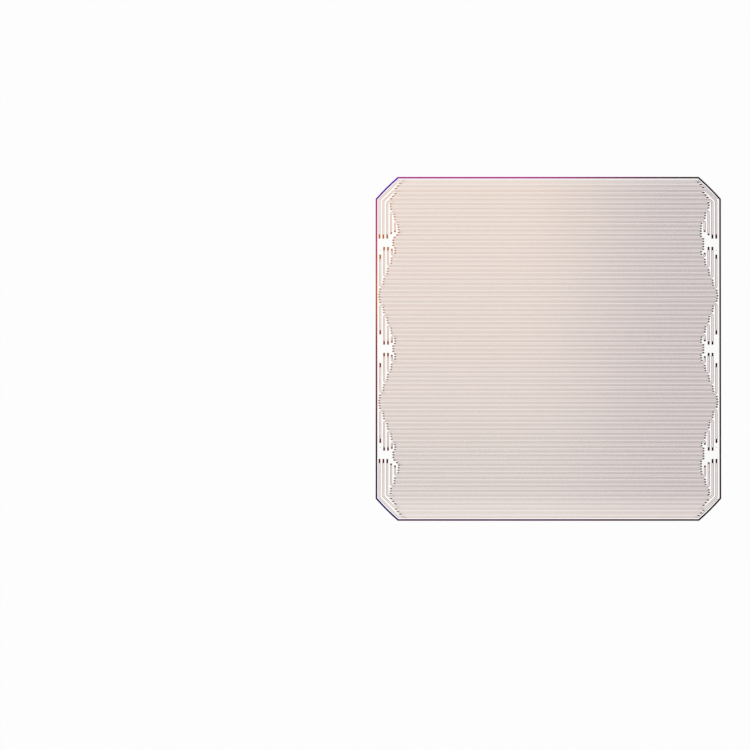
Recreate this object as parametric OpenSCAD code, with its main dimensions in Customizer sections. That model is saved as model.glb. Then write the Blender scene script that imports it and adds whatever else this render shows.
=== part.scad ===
// Back-contact solar cell of monocrystalline silicon, lying flat with its contact side up.
// The underside is the plain face that is turned to the sun. On the upper side two plated combs
// of opposite polarity interlock: the positive comb has its bond pads along the -X edge, the
// negative comb along the +X edge. The origin is the middle of the underside.

/* [Wafer] */
// Width of the wafer, flat to flat, in X and in Y
cell_w = 125; // [110:0.5:156]
// Leg of the cut across each corner, where the round edge of the ingot is left
corner_cut = 8; // [5:0.25:14]
// Thickness of the silicon
wafer_t = 0.165; // [0.12:0.005:0.3]
// Bare silicon left all round the plating
rim = 0.6; // [0.3:0.01:0.8]

/* [Fingers] */
// Distance from a finger to the next finger of the same comb
finger_pitch = 0.94; // [0.84:0.02:1.2]
// Width of a positive finger
pos_finger_w = 0.3; // [0.26:0.01:0.42]
// Bare line between a finger and its neighbour of the other comb
gap = 0.19; // [0.08:0.01:0.22]
// Bare length ahead of the end of a finger
tip_bare = 0.6; // [0.3:0.02:0.8]
// Distance by which that bare end draws in on each side
tip_inset = 0.1; // [0.04:0.01:0.14]
// Thickness of the plating
plating_t = 0.03; // [0.02:0.005:0.06]

/* [Edge tracks] */
// Fingers of its own comb that one track gathers
track_fingers = 4; // [3:1:6]
// Width of the outermost track
outer_track_w = 0.75; // [0.6:0.05:1.3]
// Width of the other tracks where they begin
track_min_w = 0.45; // [0.35:0.01:0.55]
// Width that a track gains at each finger that joins it
track_gain = 0.13; // [0.05:0.01:0.18]
// Distance from one lane to the next: a lane is a finger that turns and runs between two tracks
lane_pitch = 1.4; // [1.25:0.05:1.7]
// Leg of the slanted bend where a finger turns into a lane
lane_bend = 0.55; // [0.3:0.05:0.8]
// Least straight run of a lane
lane_run_min = 0.3; // [0.2:0.05:0.6]
// Fingers from the middle of a pad to the nearest lane on the side of the next pad
lane_start = 5; // [5:1:7]

/* [Edge band] */
// Least width of the positive band along the top and bottom edges
edge_band_min = 0.3; // [0.2:0.05:0.5]
// Width of the band along the corner cuts
corner_band_w = 0.25; // [0.2:0.05:0.45]
// Distance from the end of the band on the negative side to the end of the corner cut
band_stop = 1.1; // [0.6:0.1:3]

/* [Bond pads] */
// Distance from one bond pad to the next along an edge
pad_spacing = 38.5; // [34:0.5:42]
// Width of a pad along the edge
pad_w = 3; // [2.4:0.1:3.6]
// Length of a pad, inwards from the edge of the plating
pad_l = 5.45; // [5:0.05:6.5]
// Length of the side of an end pad that faces the corner
pad_corner_l = 4.55; // [4:0.05:5]
// Extra reach of a negative end pad's inner end, on the side of the middle pad
neg_pad_extra = 0.95; // [0:0.05:1.1]
// Inward slope of a pad's shoulders, as length for each millimetre along the edge
pad_flare = 1.5; // [1:0.1:2]
// Inward slope of the shoulders on the corner side of an end pad
corner_flare = 1; // [0.7:0.05:1.5]
// Reach of the middle pads' arms along the edge, from the middle of the pad
mid_arm = 5.2; // [4:0.1:6]
// Reach of the end pads' arms along the edge, from the middle of the pad
end_arm = 4.3; // [4:0.1:6]
// Length of the bare slot between an arm, or the corner side of an end pad, and the end of a lane
slot_l = 1.5; // [0.8:0.05:1.8]
// Length of the bare slot between the other sides of the pads and the end of a lane
inner_slot_l = 1.2; // [0.8:0.05:1.8]
// Step by which lanes that lie too deep for a positive pad's side stop short of it
pos_stop_step = 0.7; // [0.5:0.05:1]
// Step by which lanes that lie too deep for a negative pad's side stop short of it
neg_stop_step = 1.2; // [0.8:0.05:1.3]
// Extra distance by which such lanes stop short of the corner side of a positive end pad
pos_corner_stop = 0.95; // [0.5:0.05:1.2]
// Diameter of the index hole in the arm of an end pad
index_d = 0.28; // [0.2:0.02:0.5]
// Distance from the middle of an end pad to its index hole
index_offset = 2.8; // [2.4:0.1:3.4]

/* [Hidden] */
$fn = 32;

// The edge with the positive comb's pads and the edge with the negative comb's
LEFT = 0;
RIGHT = 1;
// Rows on each side of the midpoint between two pads that stay plain fingers
plain_rows = 3;

// Sizes of the wafer: a slice of a round ingot with four flats
half_w = cell_w / 2;
flat_half = half_w - corner_cut;
ingot_r = norm([half_w, flat_half]);
// Drop of a corner of the straight cut, along the edge, for each millimetre that the cut moves in
cut_turn = sqrt(2) - 1;
// Sides of the ingot's circle
ingot_sides = 720;

// Rows of fingers, counted from the middle: negative ones at whole numbers, positive ones between
neg_finger_w = finger_pitch - pos_finger_w - 2 * gap;
last_row = floor((half_w - rim - neg_finger_w / 2 - gap - edge_band_min) / finger_pitch);
pad_row = round(pad_spacing / finger_pitch);
pad_y = pad_row * finger_pitch;

// Which pad of its edge a row belongs to (-1, 0 or 1), how many rows from that pad it lies, and whether
// it lies between an end pad and the corner
function pad_of(row) = max(-1, min(1, round(row / pad_row)));
function from_pad(row) = row - pad_of(row) * pad_row;
function in_corner(row) = abs(row) > pad_row;

// Half the width of the fingers that end at an edge, and of the channel that the other comb leaves for them
function finger_half(side) = (side == LEFT ? neg_finger_w : pos_finger_w) / 2;
function channel_half(side) = finger_half(side) + gap;

// Lanes are counted from the edge inwards, from 1. The row of a lane, counted from its pad. At the corners
// the outermost finger of the other comb is the first lane on the positive side, and the edge band's on the
// other.
function lane_row(side, corner, lane) =
    let (start = lane_start + side / 2)
    let (first = !corner ? start + track_fingers * floor((pad_row / 2 - plain_rows - start) / track_fingers)
        : side == LEFT ? last_row - pad_row
        : last_row + 0.5 - pad_row - track_fingers)
    first - track_fingers * (lane - 1);

// Distance from the edge of the wafer to the middle of a lane
function lane_depth(side, corner, lane) =
    (side == LEFT && corner ? half_w - last_row * finger_pitch : rim + outer_track_w + channel_half(side))
    + (lane - 1) * lane_pitch;

// Steps by which a lane stops short of its pad
function short_steps(side, corner, lane) =
    let (needed = lane_depth(side, corner, lane) + channel_half(side) + track_min_w - rim)
    max(0, ceil((needed - (corner ? pad_corner_l : pad_l)) / lane_pitch));

// Extra reach of a pad's inner end past the side of the pad
function pad_extra(side, corner, end_pad) = side == RIGHT && end_pad && !corner ? neg_pad_extra : 0;

// Distance along the edge from the middle of the pad to the metal ahead of a lane, and the bare length
// there
function lane_stop(side, corner, lane, end_pad) =
    let (steps = short_steps(side, corner, lane))
    let (first = side == LEFT && corner ? pos_corner_stop : pad_extra(side, corner, end_pad))
    !corner && lane == 1 ? (end_pad ? end_arm : mid_arm)
    : steps == 0 ? pad_w / 2
    : pad_w / 2 + first + steps * (side == LEFT ? pos_stop_step : neg_stop_step);
function lane_bare(side, corner, lane) =
    short_steps(side, corner, lane) > 0 ? tip_bare : corner || lane == 1 ? slot_l : inner_slot_l;

// As many lanes lie beside a pad as have room to turn and run before they stop
function lane_count(side, corner, lane = 1) =
    let (stop = max([for (end_pad = [false, true]) lane_stop(side, corner, lane, end_pad)]))
    let (needed = stop + lane_bare(side, corner, lane) + lane_run_min + lane_bend)
    lane_row(side, corner, lane) * finger_pitch > needed
    ? lane_count(side, corner, lane + 1)
    : lane - 1;
inner_lanes = [lane_count(LEFT, false), lane_count(RIGHT, false)];
corner_lanes = [lane_count(LEFT, true), lane_count(RIGHT, true)];

// Lane beside which a row ends, 0 for the outermost track, and how many rows past that lane's own row it
// lies
function lane_of(side, row) =
    let (corner = in_corner(row))
    let (past = lane_row(side, corner, 1) - abs(from_pad(row)))
    max(0, min((corner ? corner_lanes : inner_lanes)[side], floor(past / track_fingers) + 1));
function rows_past_lane(side, row) =
    lane_row(side, in_corner(row), lane_of(side, row)) - abs(from_pad(row));
function is_lane(side, row) = lane_of(side, row) > 0 && rows_past_lane(side, row) == 0;

// Distance from the edge of the wafer to the track ahead of a plain finger. The outermost track lies inside
// the edge band at the corners of the negative side.
function track_depth(side, row) =
    let (corner = in_corner(row), lane = lane_of(side, row))
    let (joined = max(0, min(track_fingers - 2, rows_past_lane(side, row) - 1)))
    let (band = side == RIGHT && corner ? corner_band_w + gap + neg_finger_w / 2 : 0)
    lane > 0 ? lane_depth(side, corner, lane) + channel_half(side) + track_min_w + track_gain * joined
    : rim + max(band, outer_track_w - track_gain * (track_fingers - 1 - joined));
// Distance that keeps a finger clear of the lanes that stop short beside it
function clear_depth(side, row) =
    let (corner = in_corner(row), end_pad = pad_of(row) != 0)
    let (reach = abs(from_pad(row)) * finger_pitch + channel_half(side) + track_min_w)
    max([0, for (lane = [1 : 1 : lane_of(side, row)])
        if (short_steps(side, corner, lane) > 0 && lane_stop(side, corner, lane, end_pad) < reach)
            lane_depth(side, corner, lane) + channel_half(side) + track_min_w]);
// Distance from the edge of the wafer to the pad, shoulder or track ahead of a plain finger
function stop_depth(side, row) =
    let (corner = in_corner(row), extra = pad_extra(side, corner, pad_of(row) != 0))
    let (past_pad = max(0, abs(from_pad(row)) * finger_pitch - pad_w / 2 - extra))
    let (shoulder = rim + pad_l + (corner ? corner_flare : pad_flare) * past_pad)
    let (depth = max(clear_depth(side, row), shoulder))
    past_pad == 0 ? depth : min(depth, track_depth(side, row));

// How much closer to the corner cuts than to the straight edge the lanes of a side run
function cut_shift(side) =
    side == LEFT ? lane_depth(LEFT, true, 1) - channel_half(LEFT) - rim - corner_band_w : 0;
// Distance from the middle of the cell to a line that runs inside the wafer's outline, at height y
function inset(depth, y, shift = 0) =
    min(half_w - depth, half_w + flat_half - abs(y) - (depth - shift) * sqrt(2));
// A point by its depth inside the straight corner cut and its distance from the cut's end on the +X edge
function corner_point(depth, along) =
    [half_w, flat_half] + depth * [-1, -1] / sqrt(2) + along * [-1, 1] / sqrt(2);

function left_normal(v) = [-v.y, v.x] / norm(v);
// The line at a distance to the left of a route, without its first point, with sharp corners
function beside(route, distance) = [
    for (i = [1 : len(route) - 1])
        let (a = left_normal(route[i] - route[i - 1]))
        let (b = i < len(route) - 1 ? left_normal(route[i + 1] - route[i]) : a)
        route[i] + distance * (a + b) / (1 + a * b)
];
function reversed(list) = [for (i = [len(list) - 1 : -1 : 0]) list[i]];
function mirrored(list, axis) = [for (p = list) [p.x * axis.x, p.y * axis.y]];

// Outline of the end of a lane or of a plain finger, drawn towards +X, from its upper side to its lower
// one. A channel goes on past the metal as a bare end, which draws in ahead of a plain finger.
function lane_end(side, row, half_width, metal) =
    let (corner = in_corner(row), lane = lane_of(side, row), pad = pad_of(row))
    let (y = row * finger_pitch, depth = lane_depth(side, corner, lane), x = half_w - depth)
    let (along_cut = abs(y) - flat_half + depth * cut_turn - cut_shift(side) * sqrt(2))
    let (bend = max(lane_bend, along_cut), away = sign(from_pad(row)))
    let (stop = lane_stop(side, corner, lane, pad != 0) + (metal ? lane_bare(side, corner, lane) : 0))
    let (route = [[0, y], [x - bend, y], [x, y - away * bend], [x, pad * pad_y + away * stop]])
    concat(beside(route, half_width), reversed(beside(route, -half_width)));
function plain_end(side, row, half_width, metal) =
    let (y = row * finger_pitch, stop = stop_depth(side, row), tip = stop + tip_bare)
    let (shoulder = tip - gap, drawn_in = half_width - tip_inset)
    let (bare_end = [[shoulder, half_width], [shoulder, drawn_in], [stop, drawn_in]])
    let (upper = metal ? [[tip, half_width]] : bare_end)
    let (lower = reversed(mirrored(upper, [1, -1])))
    [for (p = concat(upper, lower)) [inset(p[0], y + p[1], cut_shift(side)), y + p[1]]];

// The end of a finger as a comb's outline passes it: its own metal, or the channel for the other comb's
// finger
function finger_end(side, row, comb) =
    let (metal = side != comb, half_width = metal ? finger_half(side) : channel_half(side))
    let (shape = is_lane(side, row)
        ? lane_end(side, row, half_width, metal)
        : plain_end(side, row, half_width, metal))
    mirrored(shape, [side == LEFT ? -1 : 1, 1]);

// The long zigzag between the two combs, from top to bottom, as one comb's outline follows it
function zigzag(comb) = [
    for (step = [2 * last_row : -1 : -2 * last_row])
        each finger_end(step % 2 == 0 ? LEFT : RIGHT, step / 2, comb)
];

// The end of the edge band at the top, and the negative comb's outline round it, from outside the wafer
// inwards
top_row_edge = last_row * finger_pitch + neg_finger_w / 2;
band_depth = rim + corner_band_w;
clear_stop = band_stop - gap;
band_end = [
    corner_point(-band_stop, band_stop),
    corner_point(band_depth, band_stop),
    [inset(band_depth, top_row_edge + gap), top_row_edge + gap]
];
band_clear = [
    corner_point(-clear_stop, clear_stop),
    corner_point(band_depth + gap, clear_stop),
    [inset(band_depth + gap, top_row_edge), top_row_edge]
];

// A closed outline that is the same above and below the middle
function above_and_below(top, between) = concat(top, between, reversed(mirrored(top, [1, -1])));

// The part of the wafer's square that each comb shares out, up to the zigzag between them
function positive_outline() =
    above_and_below(concat([[-half_w, half_w], [half_w, half_w]], band_end), zigzag(LEFT));
function negative_outline() = above_and_below(band_clear, zigzag(RIGHT));

// Outline of the slice moved in by a depth
module slice(depth) {
    intersection() {
        square(cell_w - 2 * depth, center = true);
        circle(r = ingot_r - depth, $fn = ingot_sides);
    }
}

// One plated comb on the wafer, with an index hole in the inner arm of each end pad
module comb(outline, side) {
    hole_x = half_w - lane_depth(side, false, 1);
    hole_y = pad_y - index_offset;
    translate([0, 0, wafer_t])
        linear_extrude(plating_t)
            difference() {
                intersection() {
                    polygon(outline);
                    slice(rim);
                }
                for (y = [-hole_y, hole_y])
                    translate([side == LEFT ? -hole_x : hole_x, y])
                        circle(d = index_d);
            }
}

module wafer() {
    color("midnightblue")
        linear_extrude(wafer_t)
            slice(0);
}

module positive_grid() {
    color("linen")
        comb(positive_outline(), LEFT);
}

module negative_grid() {
    color("lavenderblush")
        comb(negative_outline(), RIGHT);
}

wafer();
positive_grid();
negative_grid();
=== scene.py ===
"""A back-contact solar cell that lies on a pale table with its plated contact side up."""

import logging
import math
from abc import ABC, abstractmethod
from dataclasses import dataclass
from enum import Enum
from typing import Any, Sequence, Union

import bmesh
import bpy
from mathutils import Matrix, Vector


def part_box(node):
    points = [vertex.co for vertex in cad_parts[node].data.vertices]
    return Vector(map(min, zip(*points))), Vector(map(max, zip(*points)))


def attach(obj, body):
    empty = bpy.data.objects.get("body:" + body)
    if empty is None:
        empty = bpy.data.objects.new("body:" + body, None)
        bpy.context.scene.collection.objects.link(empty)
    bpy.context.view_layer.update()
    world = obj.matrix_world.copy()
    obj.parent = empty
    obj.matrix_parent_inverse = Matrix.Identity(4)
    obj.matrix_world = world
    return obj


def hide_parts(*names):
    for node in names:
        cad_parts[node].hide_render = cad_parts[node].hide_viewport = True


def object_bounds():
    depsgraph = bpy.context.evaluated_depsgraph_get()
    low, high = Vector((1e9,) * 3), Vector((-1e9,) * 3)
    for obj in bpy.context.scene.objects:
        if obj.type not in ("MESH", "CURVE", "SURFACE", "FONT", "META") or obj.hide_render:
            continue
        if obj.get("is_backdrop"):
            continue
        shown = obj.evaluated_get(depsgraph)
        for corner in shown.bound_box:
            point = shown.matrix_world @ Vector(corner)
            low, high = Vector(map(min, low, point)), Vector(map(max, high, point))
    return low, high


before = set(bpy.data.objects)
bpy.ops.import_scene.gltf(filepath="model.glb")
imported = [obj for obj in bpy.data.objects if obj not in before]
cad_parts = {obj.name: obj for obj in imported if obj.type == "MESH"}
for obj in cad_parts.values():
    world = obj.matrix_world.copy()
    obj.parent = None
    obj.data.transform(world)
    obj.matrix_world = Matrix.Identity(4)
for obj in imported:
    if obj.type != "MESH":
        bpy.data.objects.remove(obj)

LOG = logging.getLogger("solar_cell")
MM = 0.001
BODY = "root"

Colour = tuple[float, float, float]
Stop = tuple[float, Colour]
Number = Union["Value", float]


def srgb(red: int, green: int, blue: int) -> Colour:
    """Turns a colour as a screen shows it into the linear one that a shader takes.

    Args:
        red: Red, from 0 to 255.
        green: Green, from 0 to 255.
        blue: Blue, from 0 to 255.

    Returns:
        The linear colour, with channels from 0 to 1.
    """
    def linear(level: int) -> float:
        """Undoes the screen's curve for one channel."""
        share = level / 255
        return share / 12.92 if share <= 0.04045 else ((share + 0.055) / 1.055) ** 2.4

    return linear(red), linear(green), linear(blue)


class Value:
    """A number that varies over a surface: a socket that takes part in Python expressions."""

    def __init__(self, graph: "Graph", socket: bpy.types.NodeSocket) -> None:
        """Wraps a socket.

        Args:
            graph: The node tree that the socket is in.
            socket: The output that holds the number.
        """
        self.graph = graph
        self.socket = socket

    def _math(self, operation: str, *operands: Number) -> "Value":
        """Adds a Math node.

        Args:
            operation: The Math node's operation.
            operands: Its inputs, in order.

        Returns:
            The node's result.
        """
        return self.graph.node("ShaderNodeMath", {"operation": operation}, dict(enumerate(operands)))

    def __add__(self, other: Number) -> "Value":
        """self + other."""
        return self._math("ADD", self, other)

    __radd__ = __add__

    def __sub__(self, other: Number) -> "Value":
        """self - other."""
        return self._math("SUBTRACT", self, other)

    def __rsub__(self, other: Number) -> "Value":
        """other - self."""
        return self._math("SUBTRACT", other, self)

    def __mul__(self, other: Number) -> "Value":
        """self * other."""
        return self._math("MULTIPLY", self, other)

    __rmul__ = __mul__

    def __truediv__(self, other: Number) -> "Value":
        """self / other."""
        return self._math("DIVIDE", self, other)

    def __pow__(self, power: Number) -> "Value":
        """self ** power."""
        return self._math("POWER", self, power)

    def __abs__(self) -> "Value":
        """The distance from zero."""
        return self._math("ABSOLUTE", self)

    def whole(self) -> "Value":
        """The next whole number below."""
        return self._math("FLOOR", self)

    def highest(self, other: Number) -> "Value":
        """The higher of the two."""
        return self._math("MAXIMUM", self, other)

    def lowest(self, other: Number) -> "Value":
        """The lower of the two."""
        return self._math("MINIMUM", self, other)

    def above(self, edge: Number) -> "Value":
        """1 where self is above the edge, and 0 elsewhere."""
        return self._math("GREATER_THAN", self, edge)

    def ease(self, start: float, end: float) -> "Value":
        """Goes smoothly from 0 to 1.

        Args:
            start: Where the share is still 0.
            end: Where it has come to 1, above or below the start.

        Returns:
            The share.
        """
        limits = {"Value": self, "From Min": start, "From Max": end}
        return self.graph.node("ShaderNodeMapRange", {"interpolation_type": "SMOOTHSTEP"}, limits)


class Graph:
    """A node tree that is written as expressions."""

    def __init__(self, tree: bpy.types.NodeTree) -> None:
        """Takes over a tree and empties it.

        Args:
            tree: The tree of a material or of the world.
        """
        self.tree = tree
        tree.nodes.clear()

    def node(
        self,
        kind: str,
        settings: dict[str, Any],
        inputs: dict[Union[str, int], Any],
        output: Union[str, int] = 0,
    ) -> Value:
        """Adds a node of any kind.

        Args:
            kind: The node's type.
            settings: Its settings, which are set first. "stops" gives a ramp its stops.
            inputs: Values or links of its sockets, by name or by place.
            output: The output that is wanted, by name or by place.

        Returns:
            That output.
        """
        made = self.tree.nodes.new(kind)
        for name, setting in settings.items():
            if name == "stops":
                self._set_stops(made.color_ramp, setting)
            else:
                setattr(made, name, setting)
        for place, given in inputs.items():
            socket = made.inputs[place]
            if isinstance(given, Value):
                self.tree.links.new(given.socket, socket)
            else:
                socket.default_value = (*given, 1.0) if socket.type == "RGBA" else given
        return Value(self, made.outputs[output])

    @staticmethod
    def _set_stops(ramp: bpy.types.ColorRamp, stops: Sequence[Stop]) -> None:
        """Gives a new ramp its stops.

        Args:
            ramp: A ramp with the two stops that it is made with.
            stops: Places from 0 to 1 with their colours, in order.
        """
        while len(ramp.elements) < len(stops):
            ramp.elements.new(1.0)
        for element, (place, colour) in zip(ramp.elements, stops):
            element.position = place
            element.color = (*colour, 1.0)

    def end(self, kind: str, surface: Value) -> None:
        """Links a shader to the tree's output.

        Args:
            kind: The output node's type.
            surface: The shader.
        """
        output = self.tree.nodes.new(kind)
        self.tree.links.new(surface.socket, output.inputs["Surface"])

    def blend(self, share: Number, first: Any, second: Any) -> Value:
        """Mixes two colours.

        Args:
            share: How much of the second shows.
            first: The colour at 0.
            second: The colour at 1.

        Returns:
            The mixed colour.
        """
        return self.node("ShaderNodeMix", {"data_type": "RGBA"}, {0: share, 6: first, 7: second}, 2)

    def ramp(self, share: Number, stops: Sequence[Stop]) -> Value:
        """Looks up a colour along a row of stops.

        Args:
            share: Where to look, from 0 to 1.
            stops: Places and colours.

        Returns:
            The colour there.
        """
        return self.node("ShaderNodeValToRGB", {"stops": stops}, {"Fac": share})

    def point(self) -> Value:
        """The place on the piece, in metres."""
        return self.node("ShaderNodeTexCoord", {}, {}, "Object")

    def axes(self, point: Value) -> tuple[Value, Value, Value]:
        """Takes a place apart.

        Args:
            point: A place in metres.

        Returns:
            X, Y and Z in millimetres.
        """
        scaled = self.node("ShaderNodeVectorMath", {"operation": "SCALE"}, {0: point, "Scale": 1 / MM})
        parts = self.node("ShaderNodeSeparateXYZ", {}, {0: scaled}).socket.node
        x, y, z = (Value(self, output) for output in parts.outputs)
        return x, y, z

    def noise(self, point: Value, size: float, detail: float = 2.0) -> Value:
        """Cloudy noise around one half.

        Args:
            point: A place in metres.
            size: Size of the clouds in metres.
            detail: How many finer layers lie on them.

        Returns:
            The noise, from 0 to 1.
        """
        return self.node("ShaderNodeTexNoise", {}, {"Vector": point, "Scale": 1 / size, "Detail": detail})

    def bump(self, height: Value, depth: float, strength: float) -> Value:
        """A normal that follows a height.

        Args:
            height: The height, from 0 to 1.
            depth: Depth of the relief in metres.
            strength: How much of it shows.

        Returns:
            The normal.
        """
        return self.node("ShaderNodeBump", {}, {"Strength": strength, "Distance": depth, "Height": height})

    def looked_at(self) -> Value:
        """1 for rays from the camera, off metal or through glass, and 0 for the light on the cell."""
        kinds = ("Is Camera Ray", "Is Glossy Ray", "Is Transmission Ray")
        seen, mirrored, through = (self.node("ShaderNodeLightPath", {}, {}, kind) for kind in kinds)
        return seen.highest(mirrored).highest(through)


@dataclass(frozen=True)
class CellOutline:
    """Sizes of the cell that its finishes follow, in millimetres.

    Attributes:
        half_width: From the middle to a straight edge.
        plated_half: From the middle to the outer edge of the plating.
        thickness: Thickness of the wafer.
        corner_cut: Legs of the corner cuts.
        pad_spacing: From the middle of one bond pad to the next.
        pad_half: Half the width of a pad.
        pad_depth: From the edge to just past the finger ends that face a pad.
        pad_flare: How far a pad's shoulders lean inwards for each millimetre along the edge.
        first_lane: From the middle of a pad to the far end of its outermost lane.
        negative_lag: How much further the lanes reach on the negative side.
        corner_gain: How much further they reach from the end pads towards the corners.
        lane_rows: How much nearer the pad each lane ends than the lane outside it.
        lane_pitch: From one lane to the next.
        outer_lane: From the edge to the inner side of the outermost lane.
        corner_lane: The same at the positive corners.
        painted_light_until: X at which the painted light on the film begins to give way to painted shade.
        painted_shade_from: X from which the painted shade is full.
    """

    half_width: float
    plated_half: float
    thickness: float
    corner_cut: float = 8.0
    pad_spacing: float = 38.54
    pad_half: float = 1.5
    pad_depth: float = 6.75
    pad_flare: float = 1.5
    first_lane: float = 16.45
    negative_lag: float = 0.47
    corner_gain: float = 6.58
    lane_rows: float = 3.76
    lane_pitch: float = 1.4
    outer_lane: float = 2.22
    corner_lane: float = 1.95
    # Painted light on the left of the cell fades into painted shade on the right between these two places.
    painted_light_until: float = -14.0
    painted_shade_from: float = 52.0

    @classmethod
    def from_frame(cls) -> "CellOutline":
        """Measures the CAD nodes."""
        low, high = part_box("wafer")
        plated_low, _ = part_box("positive_grid")
        return cls(high.x / MM, -plated_low.x / MM, (high.z - low.z) / MM)

    def depth_from_edge(self, x: Value, y: Value) -> Value:
        """Distance inwards from the straight edges."""
        return self.half_width - abs(x).highest(abs(y))

    def depth_from_cut(self, x: Value, y: Value) -> Value:
        """Distance inwards from the round corner cuts."""
        ingot_radius = math.hypot(self.half_width, self.half_width - self.corner_cut)
        return ingot_radius - (x * x + y * y) ** 0.5

    def distance_from_pads(self, y: Value) -> Value:
        """Distance along the edge from the middle of the nearest bond pad."""
        return abs(y).lowest(abs(abs(y) - self.pad_spacing))

    def past_lanes(self, x: Value, y: Value) -> Value:
        """Tells the lanes between the tracks from the ends of the fingers.

        Args:
            x: Place across the cell.
            y: Place along the edges with the pads.

        Returns:
            Distance inwards past the innermost lane, below 0 among the lanes.
        """
        negative = x.above(0.0)
        corner = abs(y).above(self.pad_spacing)
        first = self.first_lane + self.negative_lag * negative
        first = first + corner * (self.corner_gain - self.lane_rows * negative)
        lanes = ((first - self.distance_from_pads(y)) / self.lane_rows).whole()
        outer = self.outer_lane - (self.outer_lane - self.corner_lane) * corner * (1 - negative)
        depth = (self.half_width - abs(x)).lowest(self.depth_from_cut(x, y))
        return depth - (outer + self.lane_pitch * lanes)

    def past_pads(self, x: Value, y: Value) -> Value:
        """Distance inwards past the pads and their shoulders, below 0 beside them."""
        shoulder = (self.distance_from_pads(y) - self.pad_half).highest(0.0) * self.pad_flare
        return self.half_width - abs(x) - (self.pad_depth + shoulder)

    def brightness(self, x: Value) -> Value:
        """Painted light on the film: 1 on the positive side, 0 in painted shade on the negative side."""
        return 1 - x.ease(self.painted_light_until, self.painted_shade_from)


class Finish(ABC):
    """A procedural finish."""

    @property
    @abstractmethod
    def name(self) -> str:
        """The material's name."""

    @abstractmethod
    def shade(self, graph: Graph) -> Value:
        """Builds the nodes and returns the shader."""

    def material(self) -> bpy.types.Material:
        """Makes the material."""
        made = bpy.data.materials.new(self.name)
        made.use_nodes = True
        graph = Graph(made.node_tree)
        graph.end("ShaderNodeOutputMaterial", self.shade(graph))
        return made


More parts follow.
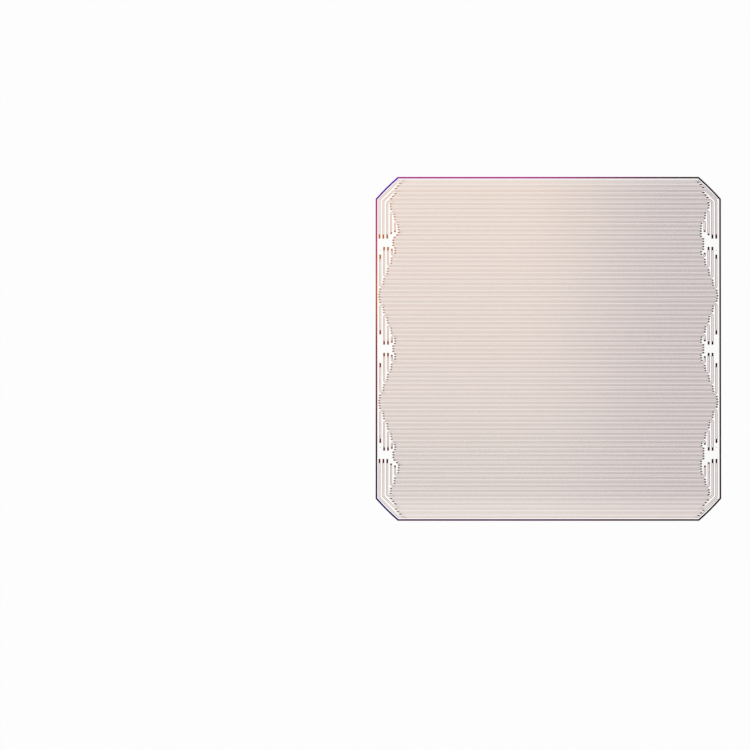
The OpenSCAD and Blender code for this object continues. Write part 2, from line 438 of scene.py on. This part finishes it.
@dataclass(frozen=True)
class SiliconFinish(Finish):
    """Silicon with a film on each face.

    The sunny face is a deep blue with soft clouds. On the contact side the bare silicon shows between the
    metal in the colours of a thin film, with painted light on one side of the cell and painted shade on
    the other. Places, widths and depths are in millimetres, and clouds, grain and relief in metres.

    Attributes:
        outline: The cell's sizes.
        sunny_dark: Blue of the sunny face.
        sunny_pale: Blue of its clouds and border.
        sawn_edge: Grey of the wafer's edge.
        slots: Colours of the wide bare slots on the side with painted light, from the bottom to the top.
        lines: Colours of the fine bare lines there.
        lines_painted_shade: Their colour on the other side, where shade is painted.
        rim: Colours of the bare rim along the straight edges there; at the bottom the film's purple is
        darkened by a painted contact shadow.
        cut: Colours of the bare rim along the corner cuts there.
        slots_painted_shade: Colour of the slots on the side where shade is painted.
        rim_painted_shade: Colour of the straight rim in that painted shade.
        cut_painted_shade: Colour of the corner cuts' rim in that painted shade.
        bottom_strip: Y at which the bottom tint begins, and at which it is full.
        bottom_tint: Tint of the lines near the bottom edge.
        bottom_share: How much of the bottom tint shows where it is full.
        top_strip: Y at which the top tint begins, and at which it is full.
        top_tint: Tint of the lines near the top edge.
        top_share: How much of the top tint shows where it is full.
        slot_reach: From the middle of a pad to the far end of its slots.
        deep_lane: Depth from which lanes have longer slots.
        deep_gain: How much longer they get for each millimetre of depth.
        arm_depth: Depth of the outermost lane, where an arm of the pad runs.
        arm_reach: From the middle of a pad to the far end of the slot past that arm.
        tip_share: How much of the slots' colour shows at the bare finger ends.
        tip_zone: How far past the lanes those ends reach.
        film_cloud: Size of the film's clouds.
        film_cloud_share: How far the clouds move the colours up or down.
        film_roughness: Roughness of the film.
        specular: Specular level of the bare edge.
        face_share: Share of the thickness that counts as a face.
        sunny_cloud: Size of the sunny face's clouds.
        sunny_cloud_range: Noise at which the clouds begin, and at which they are full.
        sunny_cloud_share: How pale the clouds are.
        sunny_border: Width of the pale border.
        sunny_border_share: How pale the border is.
        sunny_grain: Size of the sunny face's grain.
        sunny_detail: Finer layers of the grain.
        sunny_roughness: Roughness that the sunny face has above the film's.
        sunny_grain_roughness: Roughness that the grain adds.
        sunny_relief: Depth of the grain.
        sunny_relief_share: How much of the grain's relief shows.
    """

    outline: CellOutline
    sunny_dark: Colour = srgb(1, 21, 66)
    sunny_pale: Colour = srgb(5, 50, 97)
    sawn_edge: Colour = srgb(38, 36, 44)
    slots: tuple[Stop, ...] = (
        (0.12, srgb(70, 12, 4)),
        (0.24, srgb(92, 23, 2)),
        (0.5, srgb(138, 59, 1)),
        (0.8, srgb(184, 98, 1)),
        (0.95, srgb(174, 90, 12)),
    )
    lines: tuple[Stop, ...] = (
        (0.1, srgb(158, 119, 103)),
        (0.2, srgb(163, 121, 101)),
        (0.34, srgb(180, 138, 114)),
        (0.51, srgb(188, 142, 117)),
        (0.67, srgb(195, 149, 122)),
        (0.95, srgb(204, 154, 117)),
    )
    # Painted shade: colour of the film's fine lines on the shaded right side of the cell.
    lines_painted_shade: Colour = srgb(112, 24, 34)
    rim: tuple[Stop, ...] = (
        # The bottom stop is the film's purple darkened by a painted contact shadow along the bottom edge.
        (0.01, srgb(80, 8, 76)),
        (0.12, srgb(62, 28, 64)),
        (0.23, srgb(76, 22, 52)),
        (0.34, srgb(112, 32, 46)),
        (0.51, srgb(144, 56, 54)),
        (0.66, srgb(196, 92, 44)),
        (0.78, srgb(190, 66, 84)),
        (0.98, srgb(174, 32, 138)),
    )
    cut: tuple[Stop, ...] = ((0.02, srgb(28, 1, 106)), (0.93, srgb(108, 1, 142)), (0.99, srgb(80, 1, 180)))
    # Painted shade: slots, straight rim and corner cuts on the shaded right side of the cell.
    slots_painted_shade: Colour = srgb(54, 4, 9)
    rim_painted_shade: Colour = srgb(46, 5, 18)
    cut_painted_shade: Colour = srgb(16, 3, 32)
    bottom_strip: tuple[float, float] = (-50.5, -61.5)
    bottom_tint: Colour = srgb(255, 228, 211)
    bottom_share: float = 0.36
    top_strip: tuple[float, float] = (57.5, 61.5)
    top_tint: Colour = srgb(255, 255, 255)
    top_share: float = 0.18
    slot_reach: float = 3.1
    deep_lane: float = 4.2
    deep_gain: float = 0.5
    arm_depth: float = 2.4
    arm_reach: float = 6.9
    tip_share: float = 0.6
    tip_zone: float = 1.05
    film_cloud: float = 14 * MM
    film_cloud_share: float = 0.1
    film_roughness: float = 0.2
    specular: float = 0.3
    face_share: float = 0.02
    sunny_cloud: float = 55 * MM
    sunny_cloud_range: tuple[float, float] = (0.35, 0.75)
    sunny_cloud_share: float = 0.55
    sunny_border: float = 11.0
    sunny_border_share: float = 0.6
    sunny_grain: float = 0.25 * MM
    sunny_detail: float = 3.0
    sunny_roughness: float = 0.2
    sunny_grain_roughness: float = 0.12
    sunny_relief: float = 0.01 * MM
    sunny_relief_share: float = 0.5

    @property
    def name(self) -> str:
        """The material's name."""
        return "coated_silicon"

    def slot_share(self, x: Value, y: Value) -> Value:
        """How much of the slots' colour the bare silicon inside the rim shows.

        Args:
            x: Place across the cell.
            y: Place along the edges with the pads.

        Returns:
            1 in the slots beside the pads, less at the bare finger ends, and 0 along the fine lines.
        """
        from_side = self.outline.half_width - abs(x)
        from_pad = self.outline.distance_from_pads(y)
        reach = self.slot_reach + self.deep_gain * (from_side - self.deep_lane).highest(0.0)
        beside_pad = 1 - from_pad.above(reach)
        past_arm = (1 - from_pad.above(self.arm_reach)) * (1 - from_side.above(self.arm_depth))
        past_arm = past_arm * (1 - abs(y).above(self.outline.pad_spacing))
        past_lanes = self.outline.past_lanes(x, y)
        past_tips = past_lanes.above(self.tip_zone).highest(self.outline.past_pads(x, y).above(0.0))
        tips = self.tip_share * past_lanes.above(0.0)
        return (1 - past_tips) * beside_pad.highest(past_arm).highest(tips)

    def contact_side(self, graph: Graph, point: Value) -> Value:
        """Colour of the bare silicon on the contact side.

        Args:
            graph: The material's nodes.
            point: The place on the wafer.

        Returns:
            The colour.
        """
        x, y, _ = graph.axes(point)
        height = y / (2 * self.outline.half_width) + 0.5
        # Painted light on the left of the cell and painted shade on the right, by place across it.
        painted_light = self.outline.brightness(x)
        cloud = (graph.noise(point, self.film_cloud) - 0.5) * self.film_cloud_share
        # Each colour below is blended from its lit copy into its painted-shade copy.
        slots = graph.blend(painted_light, self.slots_painted_shade, graph.ramp(height + cloud, self.slots))
        lines = graph.blend(painted_light, self.lines_painted_shade, graph.ramp(height + cloud, self.lines))
        lines = graph.blend(y.ease(*self.bottom_strip) * self.bottom_share, lines, self.bottom_tint)
        lines = graph.blend(y.ease(*self.top_strip) * self.top_share, lines, self.top_tint)
        inner = graph.blend(self.slot_share(x, y), lines, slots)
        from_edge = self.outline.depth_from_edge(x, y)
        from_cut = self.outline.depth_from_cut(x, y)
        edge = graph.blend(painted_light, self.rim_painted_shade, graph.ramp(height + cloud, self.rim))
        cut = graph.blend(painted_light, self.cut_painted_shade, graph.ramp(height, self.cut))
        edge = graph.blend(from_edge.above(from_cut), edge, cut)
        bare = self.outline.half_width - self.outline.plated_half
        return graph.blend(from_edge.lowest(from_cut).above(bare), edge, inner)

    def sunny_side(self, graph: Graph, point: Value) -> Value:
        """Colour of the face that is turned to the sun.

        Args:
            graph: The material's nodes.
            point: The place on the wafer.

        Returns:
            The colour.
        """
        x, y, _ = graph.axes(point)
        cloud = graph.noise(point, self.sunny_cloud).ease(*self.sunny_cloud_range)
        depth = self.outline.depth_from_edge(x, y).lowest(self.outline.depth_from_cut(x, y))
        border = depth.ease(self.sunny_border, 0.0)
        pale = (self.sunny_cloud_share * cloud + self.sunny_border_share * border).lowest(1.0)
        return graph.blend(pale, self.sunny_dark, self.sunny_pale)

    def shade(self, graph: Graph) -> Value:
        """Builds the nodes and returns the shader."""
        point = graph.point()
        _, _, z = graph.axes(point)
        top = z.above(self.outline.thickness * (1 - self.face_share))
        bottom = 1 - z.above(self.outline.thickness * self.face_share)
        colour = graph.blend(top, self.sawn_edge, self.contact_side(graph, point))
        colour = graph.blend(bottom, colour, self.sunny_side(graph, point))
        grain = graph.noise(point, self.sunny_grain, self.sunny_detail)
        sunny_roughness = self.sunny_roughness + self.sunny_grain_roughness * grain
        return graph.node(
            "ShaderNodeBsdfPrincipled",
            {},
            {
                "Base Color": colour,
                "Metallic": top.highest(bottom),
                "Roughness": self.film_roughness + bottom * sunny_roughness,
                "Specular IOR Level": self.specular,
                "Normal": graph.bump(grain * bottom, self.sunny_relief, self.sunny_relief_share),
            },
        )


@dataclass(frozen=True)
class PlatingFinish(Finish):
    """Satin tin on copper: nearly white and finely grained.

    Attributes:
        tin: Colour of the tin.
        cloud: Size of the duller clouds, in metres.
        grain: Size of the grain, in metres.
        detail: Finer layers of both.
        roughness: Roughness of the smoothest tin.
        cloud_roughness: Roughness that the clouds add.
        grain_roughness: Roughness that the grain adds.
        relief: Depth of the grain, in metres.
        relief_share: How much of the grain's relief shows.
    """

    tin: Colour = srgb(244, 244, 243)
    cloud: float = 22 * MM
    grain: float = 0.12 * MM
    detail: float = 3.0
    roughness: float = 0.42
    cloud_roughness: float = 0.04
    grain_roughness: float = 0.08
    relief: float = 0.004 * MM
    relief_share: float = 0.35

    @property
    def name(self) -> str:
        """The material's name."""
        return "satin_tin_plating"

    def shade(self, graph: Graph) -> Value:
        """Builds the nodes and returns the shader."""
        point = graph.point()
        cloud = graph.noise(point, self.cloud, self.detail)
        grain = graph.noise(point, self.grain, self.detail)
        return graph.node(
            "ShaderNodeBsdfPrincipled",
            {},
            {
                "Base Color": self.tin,
                "Metallic": 1.0,
                "Roughness": self.roughness + self.cloud_roughness * cloud + self.grain_roughness * grain,
                "Normal": graph.bump(grain, self.relief, self.relief_share),
            },
        )


@dataclass(frozen=True)
class TableFinish(Finish):
    """A matt white table top that looks white to the camera and in reflections, and keeps soft shadows.

    From below it is clear, so that the sunny face can be seen.

    Attributes:
        white: Colour of the matt top.
        glow_share: How much of the top glows for the camera and in reflections.
    """

    white: Colour = (0.92, 0.92, 0.92)
    glow_share: float = 0.94

    @property
    def name(self) -> str:
        """The material's name."""
        return "white_table"

    def shade(self, graph: Graph) -> Value:
        """Builds the nodes and returns the shader."""
        matt = graph.node("ShaderNodeBsdfDiffuse", {}, {"Color": self.white})
        glow = graph.node("ShaderNodeEmission", {}, {"Color": (1.0, 1.0, 1.0), "Strength": 1.0})
        share = graph.looked_at() * self.glow_share
        table = graph.node("ShaderNodeMixShader", {}, {0: share, 1: matt, 2: glow})
        clear = graph.node("ShaderNodeBsdfTransparent", {}, {})
        behind = graph.node("ShaderNodeNewGeometry", {}, {}, "Backfacing")
        return graph.node("ShaderNodeMixShader", {}, {0: behind, 1: table, 2: clear})


class Polarity(Enum):
    """The two contact combs, by the CAD node that each one stands for."""

    POSITIVE = "positive_grid"
    NEGATIVE = "negative_grid"


@dataclass
class Wafer:
    """The slice of silicon, as the CAD has it."""

    node: str = "wafer"

    def dress(self, finish: Finish) -> bpy.types.Object:
        """Gives the wafer its finish.

        Args:
            finish: The silicon's finish.

        Returns:
            The CAD node's object.
        """
        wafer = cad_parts[self.node]
        material = finish.material()
        for slot in wafer.material_slots:
            slot.material = material
        return wafer


@dataclass
class ContactComb:
    """One plated comb, with the rounded upper edges that plating grows.

    Attributes:
        polarity: Which of the two combs it is.
        edge_round: Size of the rounding.
        round_steps: Facets across the rounding.
        merge_within: Points nearer than this are one.
        flat_within: Faces that turn by less than this are one.
        level_above: Rise of its normal above which a face is level and not a wall.
    """

    polarity: Polarity
    edge_round: float = 0.012 * MM
    round_steps: int = 2
    merge_within: float = 0.001 * MM
    flat_within: float = math.radians(0.5)
    level_above: float = 0.5

    def _copy_node(self) -> bpy.types.Object:
        """Copies the CAD node as a new object, selected alone, and returns it."""
        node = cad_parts[self.polarity.value]
        comb = bpy.data.objects.new(f"{self.polarity.name.lower()}_comb", node.data.copy())
        bpy.context.scene.collection.objects.link(comb)
        bpy.ops.object.select_all(action="DESELECT")
        comb.select_set(True)
        bpy.context.view_layer.objects.active = comb
        return comb

    def _select_upper_edges(self, comb: bpy.types.Object) -> None:
        """Selects the edges between the upper face and the walls.

        Args:
            comb: The comb, in edit mode.
        """
        mesh = bmesh.from_edit_mesh(comb.data)
        up = Vector((0, 0, 1))
        for face in mesh.faces:
            face.select_set(False)
        for edge in mesh.edges:
            rises = sorted(abs(face.normal.dot(up)) for face in edge.link_faces)
            is_corner = len(rises) == 2 and rises[0] < self.level_above < rises[1]
            is_upper = any(face.normal.dot(up) > self.level_above for face in edge.link_faces)
            edge.select_set(is_corner and is_upper)
        bmesh.update_edit_mesh(comb.data)

    def build(self) -> bpy.types.Object:
        """Models the comb over its CAD node and returns it."""
        comb = self._copy_node()
        bpy.ops.object.mode_set(mode="EDIT")
        bpy.ops.mesh.select_mode(type="EDGE")
        bpy.ops.mesh.select_all(action="SELECT")
        bpy.ops.mesh.remove_doubles(threshold=self.merge_within)
        bpy.ops.mesh.dissolve_limited(angle_limit=self.flat_within)
        self._select_upper_edges(comb)
        bpy.ops.mesh.bevel(
            offset=self.edge_round, segments=self.round_steps, affect="EDGES", clamp_overlap=True
        )
        bpy.ops.mesh.select_all(action="SELECT")
        bpy.ops.mesh.quads_convert_to_tris()
        bpy.ops.object.mode_set(mode="OBJECT")
        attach(comb, BODY)
        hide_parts(self.polarity.value)
        return comb

    def dress(self, comb: bpy.types.Object, finish: Finish) -> None:
        """Gives the comb its finish.

        Args:
            comb: The comb.
            finish: The plating's finish.
        """
        comb.data.materials.clear()
        comb.data.materials.append(finish.material())


@dataclass
class Studio:
    """The table, the light and the camera, in metres, watts and radians.

    Attributes:
        table_size: Side of the table.
        table_gap: How far the table lies under the cell.
        daylight: Strength of the light from all round.
        key_power: Power of the key light.
        key_place: Where the key light hangs.
        key_size: Side of the key light.
        lens: Focal length in millimetres, long so that the view is nearly parallel.
        sensor: Width of the sensor in millimetres.
        tilt: How far the camera leans from looking straight down.
        view_width: Width of the picture at the cell.
        view_centre: Where the middle of the picture lies on the table.
    """

    table_size: float = 6.0
    table_gap: float = 0.02 * MM
    daylight: float = 0.7
    key_power: float = 0.75
    key_place: tuple[float, float, float] = (-0.45, 0.3, 0.75)
    key_size: float = 0.6
    lens: float = 1400.0
    sensor: float = 36.0
    tilt: float = math.radians(5.3)
    view_width: float = 271.4 * MM
    view_centre: tuple[float, float] = (-62.73 * MM, -9.53 * MM)

    def lay_table(self) -> None:
        """Adds the table under the cell."""
        low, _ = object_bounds()
        bpy.ops.object.select_all(action="DESELECT")
        bpy.ops.mesh.primitive_plane_add(size=self.table_size, location=(0, 0, low.z - self.table_gap))
        table = bpy.context.object
        table.name = "table"
        table.data.materials.append(TableFinish().material())
        table.visible_shadow = False
        table.visible_diffuse = False
        table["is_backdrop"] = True

    def light(self) -> None:
        """Lights the cell softly from all round, with a key from the upper left."""
        world = bpy.data.worlds.new("studio")
        world.use_nodes = True
        bpy.context.scene.world = world
        graph = Graph(world.node_tree)
        strength = self.daylight + (1 - self.daylight) * graph.looked_at()
        glow = graph.node("ShaderNodeBackground", {}, {"Color": (1.0, 1.0, 1.0), "Strength": strength})
        graph.end("ShaderNodeOutputWorld", glow)
        bpy.ops.object.light_add(type="AREA", location=self.key_place)
        key = bpy.context.object
        key.name = "key_light"
        key.data.energy = self.key_power
        key.data.size = self.key_size
        key.rotation_euler = Vector(self.key_place).to_track_quat("Z", "Y").to_euler()

    def set_camera(self) -> None:
        """Looks down on the cell from afar, with the cell right of the picture's middle."""
        distance = self.view_width * self.lens / self.sensor
        x, y = self.view_centre
        place = (x, y - distance * math.sin(self.tilt), distance * math.cos(self.tilt))
        bpy.ops.object.camera_add(location=place, rotation=(self.tilt, 0, 0))
        camera = bpy.context.object
        camera.data.lens = self.lens
        camera.data.sensor_width = self.sensor
        bpy.context.scene.camera = camera
        bpy.context.scene.view_settings.view_transform = "Standard"


def main() -> None:
    """Builds and dresses the cell, then sets up the studio."""
    logging.basicConfig(level=logging.INFO, format="%(name)s: %(message)s")
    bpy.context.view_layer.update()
    outline = CellOutline.from_frame()
    wafer = Wafer().dress(SiliconFinish(outline))
    LOG.info("%s dressed, %.1f mm wide", wafer.name, 2 * outline.half_width)
    for polarity in Polarity:
        comb = ContactComb(polarity)
        piece = comb.build()
        comb.dress(piece, PlatingFinish())
        LOG.info("%s built, %d faces", piece.name, len(piece.data.polygons))
    studio = Studio()
    studio.lay_table()
    studio.light()
    studio.set_camera()


if __name__ == "__main__":
    main()
